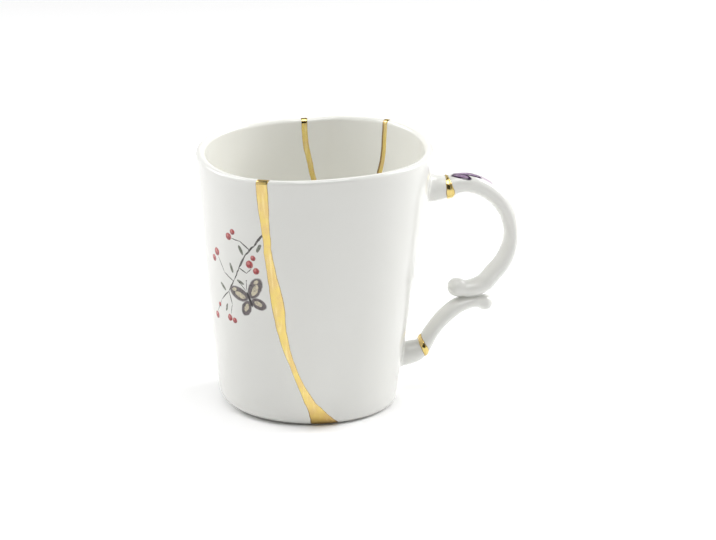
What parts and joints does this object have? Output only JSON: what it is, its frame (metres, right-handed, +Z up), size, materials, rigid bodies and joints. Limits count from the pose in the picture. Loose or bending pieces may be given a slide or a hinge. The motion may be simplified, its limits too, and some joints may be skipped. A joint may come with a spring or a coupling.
{
  "type": "porcelain mug",
  "caption": "White porcelain mug with a tapered round body, an uneven rim, a scroll handle and gold-filled repair seams.",
  "frame": {"origin": "middle of the whole mug's outer box, at the height of the foot's underside", "axes": "+X from the beaker toward the handle, +Z up, +Y toward the back seams"},
  "size_m": [0.1236, 0.0898, 0.1028],
  "materials": {
    "porcelain": "clear gloss glaze over white porcelain",
    "gold": "polished gold lustre"
  },
  "bodies": {
    "root": {"mug": "porcelain", "gold_seam": "gold", "gold_band_upper": "gold", "gold_band_lower": "gold"}
  },
  "joints": []
}
